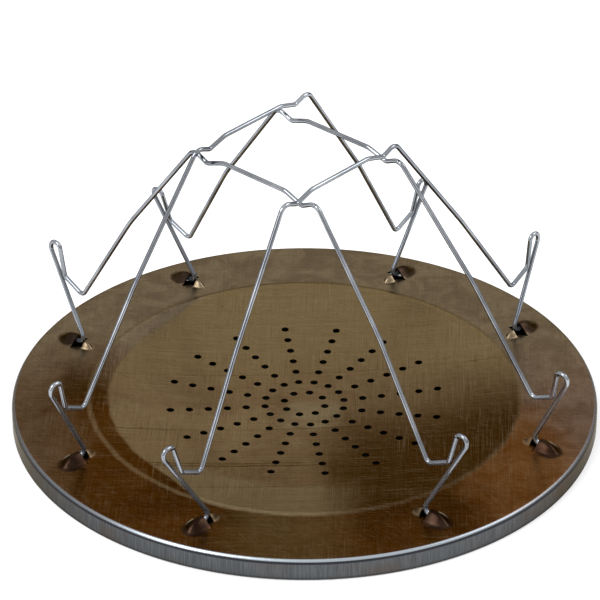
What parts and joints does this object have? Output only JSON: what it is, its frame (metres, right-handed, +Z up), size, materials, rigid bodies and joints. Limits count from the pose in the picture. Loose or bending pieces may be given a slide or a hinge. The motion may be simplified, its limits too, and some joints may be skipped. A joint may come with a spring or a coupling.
{
  "type": "camping toaster",
  "caption": "Folding stove-top toaster: a round perforated steel pan with hinged bent-wire frames that cross over each other and hold bread slices leaning inward.",
  "frame": {"origin": "centre of the pan on the surface it stands on, at the foot of its skirt", "axes": "+Z up along the pan's axis; the left and right frames hinge along Y at x = -32.6 and +32.6 mm, the front and back frames hinge along X at y = -32.6 and +32.6 mm"},
  "size_m": [0.23, 0.23, 0.1248],
  "materials": {
    "pan_steel": "worn and heat-tinted sheet steel with fine scratches",
    "frame_wire": "bright plated wire, slightly dulled by heat"
  },
  "bodies": {
    "pan": {"base_plate": "pan_steel"},
    "left_frame": {"wire_frame_left": "frame_wire"},
    "right_frame": {"wire_frame_right": "frame_wire"},
    "front_frame": {"wire_frame_front": "frame_wire"},
    "back_frame": {"wire_frame_back": "frame_wire"}
  },
  "joints": [
    {"name": "left_fold", "type": "hinge", "parent": "pan", "child": "left_frame", "pos_m": [-0.0326, 0, 0.0097], "axis": [0, 1, 0], "range_deg": [0, 86.2]},
    {"name": "right_fold", "type": "hinge", "parent": "pan", "child": "right_frame", "pos_m": [0.0326, 0, 0.0097], "axis": [0, -1, 0], "range_deg": [0, 75.7]},
    {"name": "front_fold", "type": "hinge", "parent": "pan", "child": "front_frame", "pos_m": [0, -0.0326, 0.0097], "axis": [1, 0, 0], "range_deg": [0, 90.6]},
    {"name": "back_fold", "type": "hinge", "parent": "pan", "child": "back_frame", "pos_m": [0, 0.0326, 0.0097], "axis": [-1, 0, 0], "range_deg": [0, 92.1]}
  ]
}
